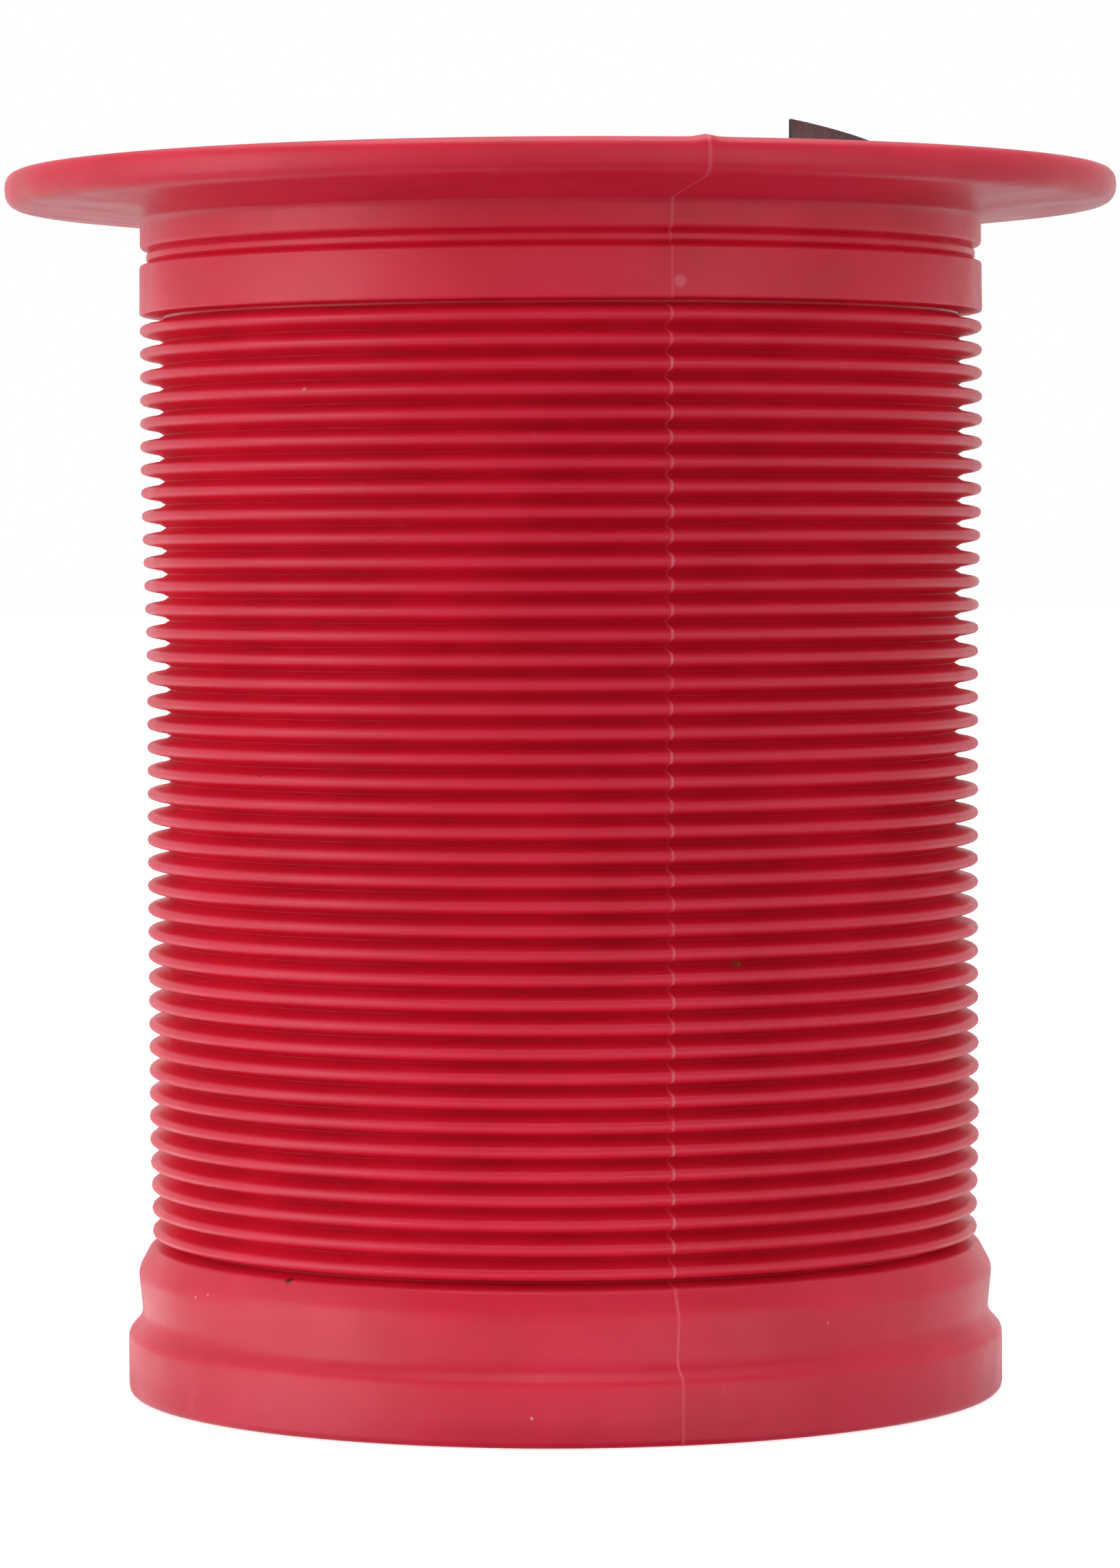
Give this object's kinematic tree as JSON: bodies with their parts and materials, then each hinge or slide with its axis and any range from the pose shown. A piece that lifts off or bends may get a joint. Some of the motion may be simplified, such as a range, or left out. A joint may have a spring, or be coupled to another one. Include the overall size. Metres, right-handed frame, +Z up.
{
  "type": "thread spool",
  "caption": "Empty ribbed thread spool with a wide top flange, a stepped foot and a through bore that holds a loose rolled sheet liner.",
  "frame": {"origin": "centre of the foot's lower face, on the axis of the bore", "axes": "+Z up along the axis towards the flange; the mould's parting plane passes 14.6 degrees to the right of -Y, which is the side seen from the front"},
  "size_m": [0.06, 0.06, 0.0678],
  "materials": {
    "barrel_plastic": "soft waxy satin as moulded, with parting line flash",
    "liner_sheet": "matt thin sheet with fine upright ridges"
  },
  "bodies": {
    "barrel": {"spool_barrel": "barrel_plastic"},
    "liner": {"bore_liner": "liner_sheet"}
  },
  "joints": [
    {"name": "liner_lift", "type": "slide", "parent": "barrel", "child": "liner", "axis": [0, 0, 1], "range_m": [0, 0.07]}
  ]
}
